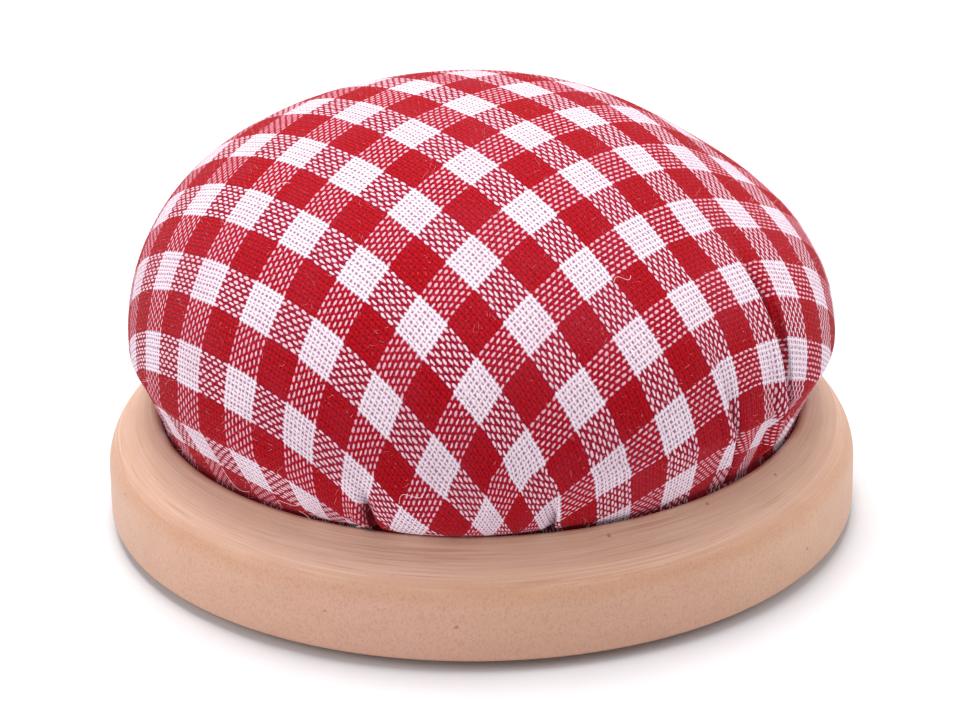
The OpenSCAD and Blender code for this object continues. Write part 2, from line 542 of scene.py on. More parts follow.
def stretch_energy(cloth, triangles, edges):
    """Energy of stretched and sheared yarns, and its slope at each point."""
    ia, ib, ic = triangles.T
    size = np.abs(np.linalg.det(edges)) / 2
    to_b, to_c = cloth[ib] - cloth[ia], cloth[ic] - cloth[ia]
    det = to_b[:, 0] * to_c[:, 1] - to_c[:, 0] * to_b[:, 1]
    det = np.where(np.abs(det) < 1e-9, 1e-9, det)
    inverse = np.empty((len(det), 2, 2))
    inverse[:, 0, 0], inverse[:, 0, 1] = to_c[:, 1], -to_c[:, 0]
    inverse[:, 1, 0], inverse[:, 1, 1] = -to_b[:, 1], to_b[:, 0]
    inverse /= det[:, None, None]
    yarns = edges @ inverse
    length = np.linalg.norm(yarns, axis=1)
    stiff = size[:, None] * np.where(length > 1, 1, SQUASH_STIFFNESS)
    shear = np.sum(yarns[:, :, 0] * yarns[:, :, 1], 1)
    value = (stiff * (length - 1) ** 2).sum() + SHEAR_STIFFNESS * (size * shear**2).sum()
    stretch_pull = 2 * stiff * (length - 1) / length
    shear_pull = 2 * SHEAR_STIFFNESS * size * shear
    pull = stretch_pull[:, None] * yarns + shear_pull[:, None, None] * yarns[:, :, ::-1]
    slope = -np.transpose(yarns, (0, 2, 1)) @ pull @ np.transpose(inverse, (0, 2, 1))
    total = np.empty(cloth.shape)
    for axis in range(2):
        at_b, at_c = slope[:, axis, 0], slope[:, axis, 1]
        total[:, axis] = (
            np.bincount(ib, at_b, len(cloth)) + np.bincount(ic, at_c, len(cloth))
            - np.bincount(ia, at_b + at_c, len(cloth))
        )
    return value, total


def bend_energy(cloth):
    """Energy of sharp turns in the grid below the crown, and its slope."""
    grid = cloth[1:].reshape(LAYOUT_ROWS, LAYOUT_COLUMNS, 2)
    round_bend = np.roll(grid, -1, 1) - 2 * grid + np.roll(grid, 1, 1)
    down_bend = grid[2:] - 2 * grid[1:-1] + grid[:-2]
    push = np.roll(round_bend, 1, 1) - 2 * round_bend + np.roll(round_bend, -1, 1)
    push[2:] += down_bend
    push[1:-1] -= 2 * down_bend
    push[:-2] += down_bend
    value = BEND_STIFFNESS * ((round_bend**2).sum() + (down_bend**2).sum())
    return value, 2 * BEND_STIFFNESS * push.reshape(-1, 2)


def minimise(energy, x, steps, memory=14):
    """Limited-memory BFGS."""
    value, slope = energy(x)
    history = []
    for _ in range(steps):
        direction = -slope
        saved = []
        for s, y, rho in reversed(history):
            alpha = rho * (s @ direction)
            direction = direction - alpha * y
            saved.append(alpha)
        if history:
            s, y, _rho = history[-1]
            direction = direction * ((s @ y) / (y @ y))
        for (s, y, rho), alpha in zip(history, reversed(saved)):
            direction = direction + s * (alpha - rho * (y @ direction))
        step = 1.0 if history else 0.1 / np.linalg.norm(slope)
        for _try in range(20):
            new_value, new_slope = energy(x + step * direction)
            if new_value < value + 1e-4 * step * (slope @ direction):
                break
            step *= 0.5
        else:
            break
        s, y = step * direction, new_slope - slope
        if s @ y > 1e-12:
            history = (history + [(s, y, 1 / (s @ y))])[-memory:]
        x, value, slope = x + s, new_value, new_slope
    return x


def lay_cloth():
    """Cloth coordinates, in checks, of a grid of points on the cushion.

    Yarns hardly stretch and the weave shears easily, so the layout is the one that keeps
    both yarn directions at their own length everywhere, with the tucks' spare cloth added."""
    rows = np.linspace(0, 1, LAYOUT_ROWS + 1)
    azimuth = lean_columns(even_turns(LAYOUT_COLUMNS), rows)
    points = np.stack([meridian(line, rows[row:row + 1])[0] for row, line in enumerate(azimuth)])
    triangles = grid_triangles()
    flat = np.concatenate([points[0, :1], points[1:].reshape(-1, 3)]) / CHECK
    edges = flattened_edges(flat, triangles, spare_widths(triangles, rows))

    def energy(x):
        cloth = x.reshape(-1, 2)
        value, slope = stretch_energy(cloth, triangles, edges)
        bend_value, bend_slope = bend_energy(cloth)
        slope[1:] += bend_slope
        return value + bend_value, slope.ravel()

    steps_out = np.linalg.norm(np.diff(points, axis=0), axis=-1) / CHECK
    reach = np.concatenate([np.zeros((1, LAYOUT_COLUMNS)), np.cumsum(steps_out, 0)])
    away = azimuth - WARP_ANGLE
    guess = np.stack([reach * np.cos(away), reach * np.sin(away)], -1)
    start = np.concatenate([guess[0, :1], guess[1:].reshape(-1, 2)])
    laid = minimise(energy, start.ravel(), LAYOUT_STEPS).reshape(-1, 2)
    first_row = np.repeat(laid[:1], LAYOUT_COLUMNS, 0)[None]
    return np.concatenate([first_row, laid[1:].reshape(LAYOUT_ROWS, LAYOUT_COLUMNS, 2)])


# ---- fine shape of the cover

COVER_ROWS = 150
COVER_COLUMNS = 600
BARE_ROWS = 120
BARE_COLUMNS = 240
PLEAT_COLUMNS = 26
PLEAT_REACH = math.radians(2.4)
CLOTH_T = 0.45 * MM
# Grain of the bolt is a little off square, and where its checks fall on the crown
GRAIN_SKEW = 0.133
CHECK_STRETCH = 1.015
CHECK_START = (3.987, -2.242)

# A pleat seen from its cut end: along the surface, and outwards, in mm. One kind laps flat,
# the other rolls down into an open groove
LAP_CURVE = np.array([
    (-1.60, 0.00), (-0.95, 0.36), (-0.20, 0.50), (0.38, 0.26), (0.20, -0.20), (-0.45, -0.42),
    (-0.90, -0.78), (-0.35, -1.10), (0.45, -0.80), (1.05, -0.28), (1.60, 0.00),
]) * MM
GROOVE_CURVE = np.array([
    (-1.60, 0.00), (-1.10, 0.45), (-0.45, 0.72), (0.10, 0.48), (0.16, -0.15), (-0.10, -0.85),
    (-0.05, -1.50), (0.34, -1.60), (0.62, -1.05), (1.00, -0.55), (1.60, 0.00),
]) * MM
PLEAT_HALF = 1.6 * MM
PLEAT_HIDDEN = 3.6 * MM
VALLEY_DEPTH = 0.30 * MM  # each tuck also draws the filling in round it
VALLEY_SPREAD = math.radians(5)
# Painted shadow along a crease: its half width, as a share of the pleat's reach
CREASE_SHADOW_HALF = 0.22  # of the pleat's reach
JUMP_CELLS = 6  # how far from a tuck its jump in the cloth dies out, in layout cells

LUMP_SEED, LUMP_WAVES = 3, 26
LUMP_HEIGHT = 0.28 * MM
RIPPLE_SEED, RIPPLES = 11, 70
RIPPLE_HEIGHT = 0.22 * MM
LOWEST_FACING = -0.25  # folds on a surface that faces down more than this still rise outwards
RIM_SHADE = 0.6
HEM_LIFT = 0.35 * MM
HEM_GATHERS = 46


def spline_weights(share):
    """Catmull-Rom weights of the four neighbours of a point."""
    s2, s3 = share * share, share * share * share
    return (
        (-s3 + 2 * s2 - share) / 2,
        (3 * s3 - 5 * s2 + 2) / 2,
        (-3 * s3 + 4 * s2 + share) / 2,
        (s3 - s2) / 2,
    )


def sample(grid, row, column):
    """Smoothly read a rows x columns x n grid at fractional places; columns go round."""
    last = grid.shape[0] - 1
    row = np.clip(row, 0, last - 1e-9)
    r0, c0 = np.floor(row).astype(int), np.floor(column).astype(int)
    out = 0.0
    for dr, wr in zip((-1, 0, 1, 2), spline_weights(row - r0)):
        rows = np.clip(r0 + dr, 0, last)
        line = 0.0
        for dc, wc in zip((-1, 0, 1, 2), spline_weights(column - c0)):
            line = line + wc[..., None] * grid[rows, (c0 + dc) % grid.shape[1]]
        out = out + wr[..., None] * line
    return out


def pleat_profile(control, places):
    """Offsets across a pleat at places from -1 to 1, in even steps of cloth."""
    position = np.linspace(0, len(control) - 1, 401)
    padded = np.concatenate([
        2 * control[:1] - control[1:2], control, 2 * control[-1:] - control[-2:-1]
    ])
    start = np.clip(np.floor(position).astype(int), 0, len(control) - 2)
    weights = spline_weights(position - start)
    curve = sum(w[:, None] * padded[start + i] for i, w in enumerate(weights))
    length = np.concatenate([[0], np.cumsum(np.linalg.norm(np.diff(curve, axis=0), axis=1))])
    used = length / length[-1]
    at = (places + 1) / 2
    return np.interp(at, used, curve[:, 0]), np.interp(at, used, curve[:, 1])


def fine_columns():
    """Turn of every fine column, crowded together across each tuck."""
    middles = tuck_middles()
    even = even_turns(COVER_COLUMNS)
    nearest = np.abs(turned(even[:, None] - middles)).min(1)
    even = even[nearest > PLEAT_REACH * 1.04]
    crowd = middles[:, None] + PLEAT_REACH * np.linspace(-1, 1, PLEAT_COLUMNS)
    return np.sort(np.concatenate([even, crowd.ravel() % FULL_TURN]))


def ripple(turn, rows):
    """Soft random radial folds: waves round the rim with random strength and place."""
    random = np.random.default_rng(RIPPLE_SEED)
    total = np.zeros((len(rows), len(turn)))
    for _ in range(RIPPLES):
        middle = random.uniform(0, FULL_TURN)
        width = math.radians(random.uniform(1.2, 3.5))
        top = random.uniform(0.70, 0.90)
        strength = random.uniform(-1, 1)
        shape = np.exp(-(turned(turn - middle) / width) ** 2)
        total += strength * shape[None] * smooth(rows, top, 1.0)[:, None]
    return total


def soft_lumps(turn, rows):
    """Slow unevenness of the filling, from a few random waves."""
    random = np.random.default_rng(LUMP_SEED)
    x = rows[:, None] * np.cos(turn)[None]
    y = rows[:, None] * np.sin(turn)[None]
    total = np.zeros_like(x)
    for _ in range(LUMP_WAVES):
        direction = random.uniform(0, FULL_TURN)
        pace = random.uniform(6, 17)
        start = random.uniform(0, FULL_TURN)
        wave = x * math.cos(direction) + y * math.sin(direction)
        total += np.sin(pace * wave + start) * 3 / pace
    return total / 5


def jump_tail(away):
    """Share of a tuck's jump that is left at an angle from it."""
    return np.clip(1 - (np.abs(away) / CELL - 0.5) / JUMP_CELLS, 0, 1) ** 2


def surface_frame(points):
    """Normal and round direction of a grid of points, crown to rim."""
    around = np.roll(points, -1, 1) - np.roll(points, 1, 1)
    around[0] = around[1]
    normal = unit(np.cross(np.gradient(points, axis=0), around))
    normal[0] = (0, 0, 1)
    return normal, unit(around)


def bare_points(turn, rows):
    """Points of the smooth cushion, before its folds."""
    base = meridian(even_turns(BARE_COLUMNS), np.linspace(0, 1, BARE_ROWS + 1))
    at_row = np.repeat(rows[:, None] * BARE_ROWS, len(turn), 1)
    return sample(base, at_row, lean_columns(turn, rows) / FULL_TURN * BARE_COLUMNS)


def read_cloth(turn, rows):
    """Cloth coordinates of the fine points, which jump sharply across each tuck."""
    laid = lay_cloth() * CHECK
    layout_turn = even_turns(LAYOUT_COLUMNS)
    layout_hidden = hidden_cloth(np.linspace(0, 1, LAYOUT_ROWS + 1))
    middles = tuck_middles()
    jumps = []
    # Take the tucks' jumps out, read the smooth rest, and put sharp ones back
    for column, middle, hidden in zip(tuck_columns(), middles, layout_hidden):
        across = unit(laid[:, (column + 1) % LAYOUT_COLUMNS] - laid[:, column])
        away = turned(layout_turn - middle)
        tail = np.sign(away) / 2 * jump_tail(away)
        laid = laid - hidden[:, None, None] * across[:, None] * tail[None, :, None]
        jumps.append(across)
    at_row = np.repeat(rows[:, None] * LAYOUT_ROWS, len(turn), 1)
    cloth = sample(laid, at_row, np.repeat((turn / CELL)[None], len(rows), 0))
    for across, middle, hidden in zip(jumps, middles, hidden_cloth(rows)):
        away = turned(turn - middle)
        tail = np.clip(away / PLEAT_REACH, -1, 1) / 2 * jump_tail(away)
        local = sample(across[:, None], rows * LAYOUT_ROWS, np.zeros(len(rows)))
        cloth += hidden[:, None, None] * local[:, None] * tail[None, :, None]
    return cloth


def fold(tuck, hidden, away, rows):
    """How far a tuck slides points round, how high it lifts them, and how dark the painted shade in its
    fold and along its crease is.
    """
    place = away / PLEAT_REACH
    inside = np.clip(place, -1, 1)
    control = LAP_CURVE if tuck.flat else GROOVE_CURVE
    along, out = pleat_profile(control, inside * tuck.lap)
    along = along * tuck.lap - inside * PLEAT_HALF
    amount = (hidden / PLEAT_HIDDEN)[:, None]
    deep = tuck.depth / MM
    hold = smooth(1 - rows, 0.0, 0.05)[:, None]  # the rim of the recess presses the folds flat
    lift = np.where(out > 0, 0.15 + 0.85 * hold, 1.0) * out * deep
    valley = VALLEY_DEPTH * deep * np.exp(-(away / VALLEY_SPREAD) ** 2)
    # Painted shade deep in the fold, and a painted shadow along the crease beside a lapped tuck
    deep_fold_shade = smooth(-amount * out * deep, 0.10 * MM, 0.90 * MM)
    from_crease = place * tuck.lap - (0.85 + 0.25 * amount)
    line = np.exp(-((from_crease / CREASE_SHADOW_HALF) ** 2)) * smooth(amount, 0.25, 0.8)
    return amount * along, amount * (lift - valley), np.maximum(deep_fold_shade, tuck.crease * line)


def cover_surface():
    """Outer points of the cover, crown to rim, with normal, cloth coordinate and painted shade."""
    rows = np.linspace(0, 1, COVER_ROWS + 1)
    turn = fine_columns()
    points = bare_points(turn, rows)
    normal, around = surface_frame(points)
    outward = normal.copy()
    outward[..., 2] = np.maximum(outward[..., 2], LOWEST_FACING)
    height = soft_lumps(turn, rows) * LUMP_HEIGHT * smooth(1 - rows, 0.0, 0.12)[:, None]
    height += ripple(turn, rows) * RIPPLE_HEIGHT * smooth(1 - rows, 0.0, 0.10)[:, None]
    slide = np.zeros_like(height)
    # Painted shade where the cloth meets the rim; each tuck adds painted shade in its fold and along its
    # crease
    fold_and_rim_shade = RIM_SHADE * smooth(rows, 0.98, 1.0)[:, None] * np.ones((1, len(turn)))
    for tuck, hidden, middle in zip(TUCKS, hidden_cloth(rows), tuck_middles()):
        along, lift, dark = fold(tuck, hidden, turned(turn - middle), rows)
        slide += along
        height += lift
        fold_and_rim_shade = np.maximum(fold_and_rim_shade, dark)
    # The backing disc stands inside the rim, so the folds can't sink far there
    deepest = 0.5 * MM + 3.0 * MM * smooth(1 - rows, 0.0, 0.16)
    height = np.maximum(height, -deepest[:, None])
    points = points + slide[..., None] * around + height[..., None] * unit(outward)
    return turn, points, normal, read_cloth(turn, rows), fold_and_rim_shade


def lay_uv(mesh, flat):
    """A map called cloth that says, in checks, which part of the cloth each point is."""
    u = (flat[:, 0] + GRAIN_SKEW * flat[:, 1]) / CHECK - CHECK_START[0]
    v = flat[:, 1] * CHECK_STRETCH / CHECK - CHECK_START[1]
    layer = mesh.uv_layers.new(name="cloth")
    corner = np.empty(len(mesh.loops), dtype=np.int32)
    mesh.loops.foreach_get("vertex_index", corner)
    layer.data.foreach_set("uv", np.stack([u[corner], v[corner]], 1).ravel())


def hem_path():
    """Radius and height of the cloth below the rim: down the recess and in under the disc."""
    path = [(FOOT_R, z) for z in np.linspace(RIM_Z - 1 * MM, RECESS_Z + FOOT_EDGE_R, 4)]
    path += arc(FOOT_R - FOOT_EDGE_R, RECESS_Z + FOOT_EDGE_R, FOOT_EDGE_R, 0, -90, 3)[1:]
    return path + [(r, RECESS_Z) for r in np.linspace(FOOT_R - FOOT_EDGE_R - 1.5 * MM, HEM_R, 7)]


def hem_rings(turn, points, cloth):
    """Rings of the cover below the rim, outside then inside, and their cloth coordinates."""
    rim = points[-1]
    rim_r = np.linalg.norm(rim[:, :2], axis=1)
    spread = unit(rim * (1, 1, 0))
    per_row = (cloth[-1] - cloth[-6]) / np.linalg.norm(rim - points[-6], axis=1)[:, None]
    gathers = 0.5 + 0.5 * np.sin(turn * HEM_GATHERS + 2 * np.sin(turn * 5))
    path = hem_path()
    rings, coordinates = [], []
    travelled, before = 0.0, (FOOT_R, RIM_Z)
    for r, z in path:
        travelled += math.hypot(r - before[0], z - before[1])
        before = (r, z)
        under = z < RECESS_Z + 0.5 * MM
        pinch = 1.0 if under else min(1.0, travelled / (4 * MM))
        ring = spread * (np.minimum(rim_r, FOOT_R) * (1 - pinch) + r * pinch)[:, None]
        ring[:, 2] = z + (HEM_LIFT * gathers if under else 0)
        rings.append(ring)
        coordinates.append(cloth[-1] + per_row * travelled)
    back = path[::-1]
    inside = [(r, RECESS_Z + CLOTH_T * 1.8) for r, _ in back[:1] + back[3:8]]
    for r, z in inside + [(FOOT_R - CLOTH_T, path[0][1])]:
        ring = spread * r
        ring[:, 2] = z
        rings.append(ring)
        coordinates.append(coordinates[len(path) - 1])
    return rings, coordinates


def add_cover(material):
    """Outer face to the rim, down the recess and in under the disc, then back inside."""
    turn, points, normal, cloth, fold_and_rim_shade = cover_surface()
    hem, hem_cloth = hem_rings(turn, points, cloth)
    inner = list((points - normal * CLOTH_T)[::-10])[:-1]
    top = points[0, 0]
    rings = list(points[1:]) + hem + inner
    piece = solid_cap("gingham_cover_cloth", rings, top, top - (0, 0, CLOTH_T), material)
    coordinates = list(cloth[1:]) + hem_cloth + list(cloth[::-10])[:-1]
    lay_uv(piece.data, np.concatenate([cloth[0, :1], *coordinates, cloth[0, :1]]))
    # Painted shade: full strength on the cloth below the rim and inside, and on the outer face as its
    # folds and rim give it
    shaded = np.full(len(piece.data.vertices), RIM_SHADE)
    shaded[0] = 0
    shaded[1:fold_and_rim_shade[1:].size + 1] = fold_and_rim_shade[1:].ravel()
    piece.data.attributes.new("fold_and_rim_shade", "FLOAT", "POINT").data.foreach_set("value", shaded)
    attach(piece, "root")
    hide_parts("gingham_cover")
    return points, normal, cloth


# ---- materials

WARP_PER_CHECK = 10
WEFT_PER_CHECK = 8
WARP_HALF = 0.30  # half width of a yarn, against the distance between yarns
WEFT_HALF = 0.23
YARN_UNEVEN = 0.07
PAIR_SHIFT = 0.07
DRIFT, WANDER = 0.10, 0.06  # slow and fast wandering of the yarns, in checks

# Colours where both yarns are white, only the warp is red, only the weft is red, and both
# are red. Warp yarns stand higher, so the weft between them carries painted shade. The
# shade and hole colours are painted shade for the low parts of the weave and the gaps
# between yarns
WARP_COLOURS = (srgb(247, 227, 237), srgb(181, 3, 20), srgb(250, 205, 216), srgb(181, 3, 20))
WEFT_COLOURS = (srgb(242, 222, 232), srgb(246, 182, 196), srgb(166, 18, 50), srgb(166, 2, 20))
SHADE_COLOURS = (srgb(206, 186, 204), srgb(134, 16, 48), srgb(134, 16, 48), srgb(140, 2, 15))
HOLE_SHADE_COLOURS = (srgb(140, 100, 118), srgb(104, 10, 34), srgb(104, 10, 34), srgb(112, 2, 12))

Yarn = namedtuple("Yarn", "number off odd random")


def between(share, first, second):
    """first where share is 0, second where it is 1, for plain numbers."""
    return (second - first) * share + first


def yarn(nodes, across, half, pair_shift, seed):
    """Number of the yarn at across, how far off its middle (1 at its edge), odd or even."""
    number = nodes.math("FLOOR", across)
    odd = nodes.math("FRACT", number * 0.5) * 2.0
    middle = odd * (-2 * pair_shift) + (0.5 + pair_shift)
    random = nodes.speckle(number + seed)
    width = random * YARN_UNEVEN + (half - YARN_UNEVEN / 2)
    off = (nodes.math("FRACT", across) - middle) / width
    return Yarn(number, off, odd, random)


def crown(nodes, thread, along, swing, thickness):
    """Height of a yarn that weaves up and down; far below wherever there is no yarn."""
    wave = nodes.math("SINE", along * math.pi)
    weave = wave * (thread.odd * -2.0 + 1.0) * swing
    height = weave + thickness + thread.off * thread.off * -thickness
    outside = nodes.math("GREATER_THAN", nodes.math("ABSOLUTE", thread.off), 1.0)
    return outside * -3.0 + height


def is_red(nodes, number, per_check):
    check = nodes.math("FLOOR", (number + 0.5) / per_check)
    return nodes.math("GREATER_THAN", nodes.math("FRACT", check * 0.5), 0.25)


def gingham_material():
    """Plain weave of red and white yarns: each crossing shows the yarn that lies on top."""
    nodes = Nodes("gingham")
    u, v, _ = nodes.separate(nodes.uv("cloth"))
    flat = nodes.combine(u, v)
    drift_u, drift_v, _ = nodes.separate(nodes.noises(flat, 0.9)[1])
    fine_u, fine_v, _ = nodes.separate(nodes.noises(flat, 9.0)[1])
    warp_at = (v + (fine_v * WANDER + drift_v * DRIFT)) * WARP_PER_CHECK
    weft_at = (u + (fine_u * WANDER + drift_u * DRIFT)) * WEFT_PER_CHECK
    warp = yarn(nodes, warp_at, WARP_HALF, PAIR_SHIFT, 500.5)
    weft = yarn(nodes, weft_at, WEFT_HALF, 0.0, 0.5)
    warp_high = crown(nodes, warp, weft_at, 0.9, 0.6)
    weft_high = crown(nodes, weft, warp_at, -0.5, 0.5)
    on_top = nodes.ramp(warp_high - weft_high, -0.06, 0.06)
    height = nodes.math("MAXIMUM", nodes.math("MAXIMUM", warp_high, weft_high), -0.8)
    warp_red = is_red(nodes, warp.number, WARP_PER_CHECK)
    weft_red = is_red(nodes, weft.number, WEFT_PER_CHECK)

    def by_check(white, red_warp, red_weft, red):
        low, high = nodes.mix(warp_red, white, red_warp), nodes.mix(warp_red, red_weft, red)
        return nodes.mix(weft_red, low, high)

    colour = nodes.mix(on_top, by_check(*WEFT_COLOURS), by_check(*WARP_COLOURS))
    shade = by_check(*SHADE_COLOURS)
    # Yarns differ a little, and fibres run along them
    colour = nodes.mix(between(on_top, weft.random, warp.random) * 0.22, colour, shade)
    along_warp = nodes.noise(nodes.combine(u * 14, v * 90))
    along_weft = nodes.noise(nodes.combine(u * 90, v * 14))
    fibre = between(on_top, along_weft, along_warp)
    # Painted shade: the weave is darker where its yarns lie lower
    colour = nodes.mix(nodes.ramp(fibre * 0.6 + height, 0.15, 0.85), shade, colour)
    # Painted shade in the holes between the yarns
    colour = nodes.mix(nodes.ramp(height, -0.75, -0.45, 0.85, 0.0), colour, by_check(*HOLE_SHADE_COLOURS))
    worn = nodes.ramp(nodes.noise(flat, 0.45, 3.0, 0.6), 0.35, 0.75, 0.0, 0.16)
    colour = nodes.mix(worn, colour, srgb(150, 60, 84))
    # Painted shade in deep folds, along creases, and where the cloth meets the rim and runs under it
    colour = nodes.mix(nodes.attribute("fold_and_rim_shade") * 0.78, colour, srgb(66, 6, 18))
    nodes.bump(fibre * 0.3 + height, 0.10 * MM, 0.45)
    sheen = {"Sheen Weight": 0.05, "Sheen Roughness": 0.4, "Specular IOR Level": 0.10}
    return nodes.finish(colour, 0.88, sheen)


def fuzz_material():
    nodes = Nodes("gingham_fuzz")
    u, v, _ = nodes.separate(nodes.uv("cloth"))
    reds = is_red(nodes, u, 1) + is_red(nodes, v, 1)
    colour = nodes.mix(reds * 0.5, srgb(240, 226, 234), srgb(206, 60, 78))
    patch = nodes.ramp(nodes.noise(nodes.place(), 700.0), 0.4, 0.7, 0.0, 0.2)
    colour = nodes.mix(patch, colour, srgb(236, 190, 200))
    return nodes.finish(colour, 0.8, {"Sheen Weight": 0.3})


def floor_material():
    nodes = Nodes("floor")
    grain = nodes.noise(nodes.place(), 90.0, 3.0)
    return nodes.finish(nodes.mix(grain, srgb(226, 226, 230), srgb(233, 233, 236)), 0.8)


def turned_marks(nodes, x, y, z, colour):
    """Streaks and scratches that the lathe left on the sloping rim, a warmer band round the rounded
    corner, a lighter tone over the whole rim, and the rim's fine relief.
    """
    radius = nodes.math("SQRT", x * x + y * y)
    uneven_z = nodes.noise(nodes.place(), 140.0) * 0.0016 + z
    on_rim = nodes.ramp(uneven_z, BASE_Z + 8.0 * MM, BASE_Z + 9.6 * MM)
    broad = nodes.noise(nodes.combine(x * 26, y * 26, radius * 1500), 1.0, 3.0)
    fine = nodes.noise(nodes.combine(x * 70, y * 70, radius * 9000), 1.0, 3.0, 0.65)
    wobble = nodes.noise(nodes.place(), 55.0) * 0.0006 + radius
    scratch = nodes.noise(nodes.combine(x * 75, y * 75, wobble * 5600), 1.0, 1.5, 0.55)
    band = nodes.ramp(z, BASE_Z + 5.6 * MM, BASE_Z + 7.6 * MM)
    band = band * nodes.ramp(z, BASE_Z + 8.0 * MM, BASE_Z + 9.4 * MM, 1.0, 0.0)
    for share, tone in (
        (band * nodes.ramp(broad, 0.25, 0.70, 0.15, 0.60), srgb(196, 142, 104)),
        (on_rim * nodes.ramp(broad, 0.45, 0.60, 0.0, 0.34), srgb(190, 140, 116)),
        (on_rim * nodes.ramp(fine, 0.48, 0.66, 0.0, 0.45), srgb(230, 198, 180)),
        (on_rim * 0.20, srgb(238, 198, 178)),
        (on_rim * nodes.ramp(scratch, 0.58, 0.70, 0.0, 0.42), srgb(176, 122, 100)),
    ):
        colour = nodes.mix(share, colour, tone)
    return colour, on_rim, fine * on_rim


def wood_material():
    """Pale beech: turned streaks on the sloping rim, stippled end grain on the side."""
    nodes = Nodes("turned_wood")
    x, y, z = nodes.separate(nodes.place())
    patch = nodes.noise(nodes.place(), 38.0)
    colour = nodes.mix(nodes.ramp(patch, 0.30, 0.70), srgb(207, 161, 140), srgb(205, 161, 133))
    # Painted light: the left and right of the base, across the view, are lighter than its front
    sides = nodes.ramp(nodes.math("ABSOLUTE", x), 18 * MM, 40 * MM, 0.0, 0.55)
    colour = nodes.mix(sides, colour, srgb(211, 173, 145))
    grain = nodes.noise(nodes.combine(x * 45, y * 420, z * 420), 1.0, 3.0)
    colour = nodes.mix(nodes.ramp(grain, 0.35, 0.75, 0.0, 0.30), colour, srgb(196, 150, 122))
    colour, on_rim, relief = turned_marks(nodes, x, y, z, colour)
    stipple = nodes.noise(nodes.combine(x * 5200, y * 5200, z * 3000), 1.0, 2.0, 0.7)
    grit = (1.2 - on_rim) * nodes.ramp(stipple, 0.45, 0.70, 0.0, 0.34)
    colour = nodes.mix(grit, colour, srgb(168, 118, 92))
    specks = nodes.ramp(nodes.cells(nodes.place(), 260.0), 0.03, 0.07, 0.6, 0.0)
    colour = nodes.mix(specks, colour, srgb(128, 84, 60))
    nodes.bump(relief * 1.4 + stipple * 0.8, 0.05 * MM, 0.45)
    return nodes.finish(colour, 0.52)


def felt_material():
    nodes = Nodes("felt")
    tangle = nodes.noise(nodes.place(), 1800.0, 4.0, 0.7)
    clumps = nodes.noise(nodes.place(), 300.0, 3.0)
    colour = nodes.mix(nodes.ramp(tangle, 0.3, 0.7), srgb(62, 54, 50), srgb(104, 94, 88))
    colour = nodes.mix(nodes.ramp(clumps, 0.4, 0.7, 0.0, 0.4), colour, srgb(48, 42, 40))
    nodes.bump(tangle, 0.15 * MM, 0.8)
    return nodes.finish(colour, 0.95, {"Sheen Weight": 0.3})


def calico_material():
    """Unbleached cotton: an open plain weave of even yarns."""
    nodes = Nodes("calico")
    x, y, z = nodes.separate(nodes.place())
    weave = nodes.math("SINE", x * 7000) * nodes.math("SINE", (y + z) * 7000)
    slub = nodes.noise(nodes.place(), 240.0, 3.0)
    colour = nodes.mix(nodes.ramp(weave, -0.8, 0.8), srgb(206, 194, 168), srgb(232, 223, 202))
    colour = nodes.mix(nodes.ramp(slub, 0.55, 0.75, 0.0, 0.4), colour, srgb(186, 168, 136))
    nodes.bump(weave, 0.06 * MM, 0.6)
    return nodes.finish(colour, 0.9)


def filling_material():
    nodes = Nodes("fibre_filling")
    x, y, z = nodes.separate(nodes.place())
    strands = nodes.noise(nodes.combine(x * 300, y * 2400, z * 1200), 1.0, 4.0, 0.7)
    clumps = nodes.noise(nodes.place(), 130.0, 3.0)
    colour = nodes.mix(nodes.ramp(strands, 0.3, 0.7), srgb(222, 217, 206), srgb(248, 245, 238))
    colour = nodes.mix(nodes.ramp(clumps, 0.5, 0.8, 0.0, 0.4), colour, srgb(206, 196, 178))
    nodes.bump(strands + clumps, 0.4 * MM, 0.8)
    return nodes.finish(colour, 0.95)


def plywood_material():
    nodes = Nodes("plywood")
    x, y, z = nodes.separate(nodes.place())
    ply = nodes.speckle(nodes.math("FLOOR", z / (1.0 * MM)))
    grain = nodes.noise(nodes.combine(x * 40, y * 900, z * 900), 1.0, 3.0)
    colour = nodes.mix(nodes.ramp(grain, 0.3, 0.7), srgb(214, 184, 140), srgb(186, 150, 104))
    colour = nodes.mix(ply * 0.5, colour, srgb(150, 110, 72))
    nodes.bump(grain, 0.08 * MM, 0.5)
    return nodes.finish(colour, 0.65)


def steel_material():
    nodes = Nodes("screw_steel")
    marks = nodes.noise(nodes.place(), 1500.0, 3.0)
    colour = nodes.mix(nodes.ramp(marks, 0.3, 0.7), srgb(176, 174, 170), srgb(206, 204, 198))
    nodes.bump(marks, 0.01 * MM, 0.4)
    return nodes.finish(colour, nodes.ramp(marks, 0.2, 0.8, 0.26, 0.44), {"Metallic": 1.0})


def thread_material():
    nodes = Nodes("sewing_thread")
    fibre = nodes.noise(nodes.place(), 2600.0, 3.0)
    colour = nodes.mix(nodes.ramp(fibre, 0.3, 0.7), srgb(228, 222, 210), srgb(246, 243, 236))
    nodes.bump(fibre, 0.03 * MM, 0.5)
    return nodes.finish(colour, 0.8, {"Sheen Weight": 0.2})


# ---- base

WALL_H = 8.2 * MM
RIM_FILLET_R = 5.7 * MM
SOFT_EDGE_R = 0.6 * MM
SCREW_HOLE_R = 1.9 * MM
HEAD_HOLE_R = 3.65 * MM
HEAD_HOLE_DEPTH = 0.6 * MM
CONE_DEPTH = 2.35 * MM
OVAL = 0.014  # turned wood dries oval: this much wider across the view than along it
OVAL_WIDTH = 3 * MM  # the mouth stays round, and the oval grows over this much of the rim


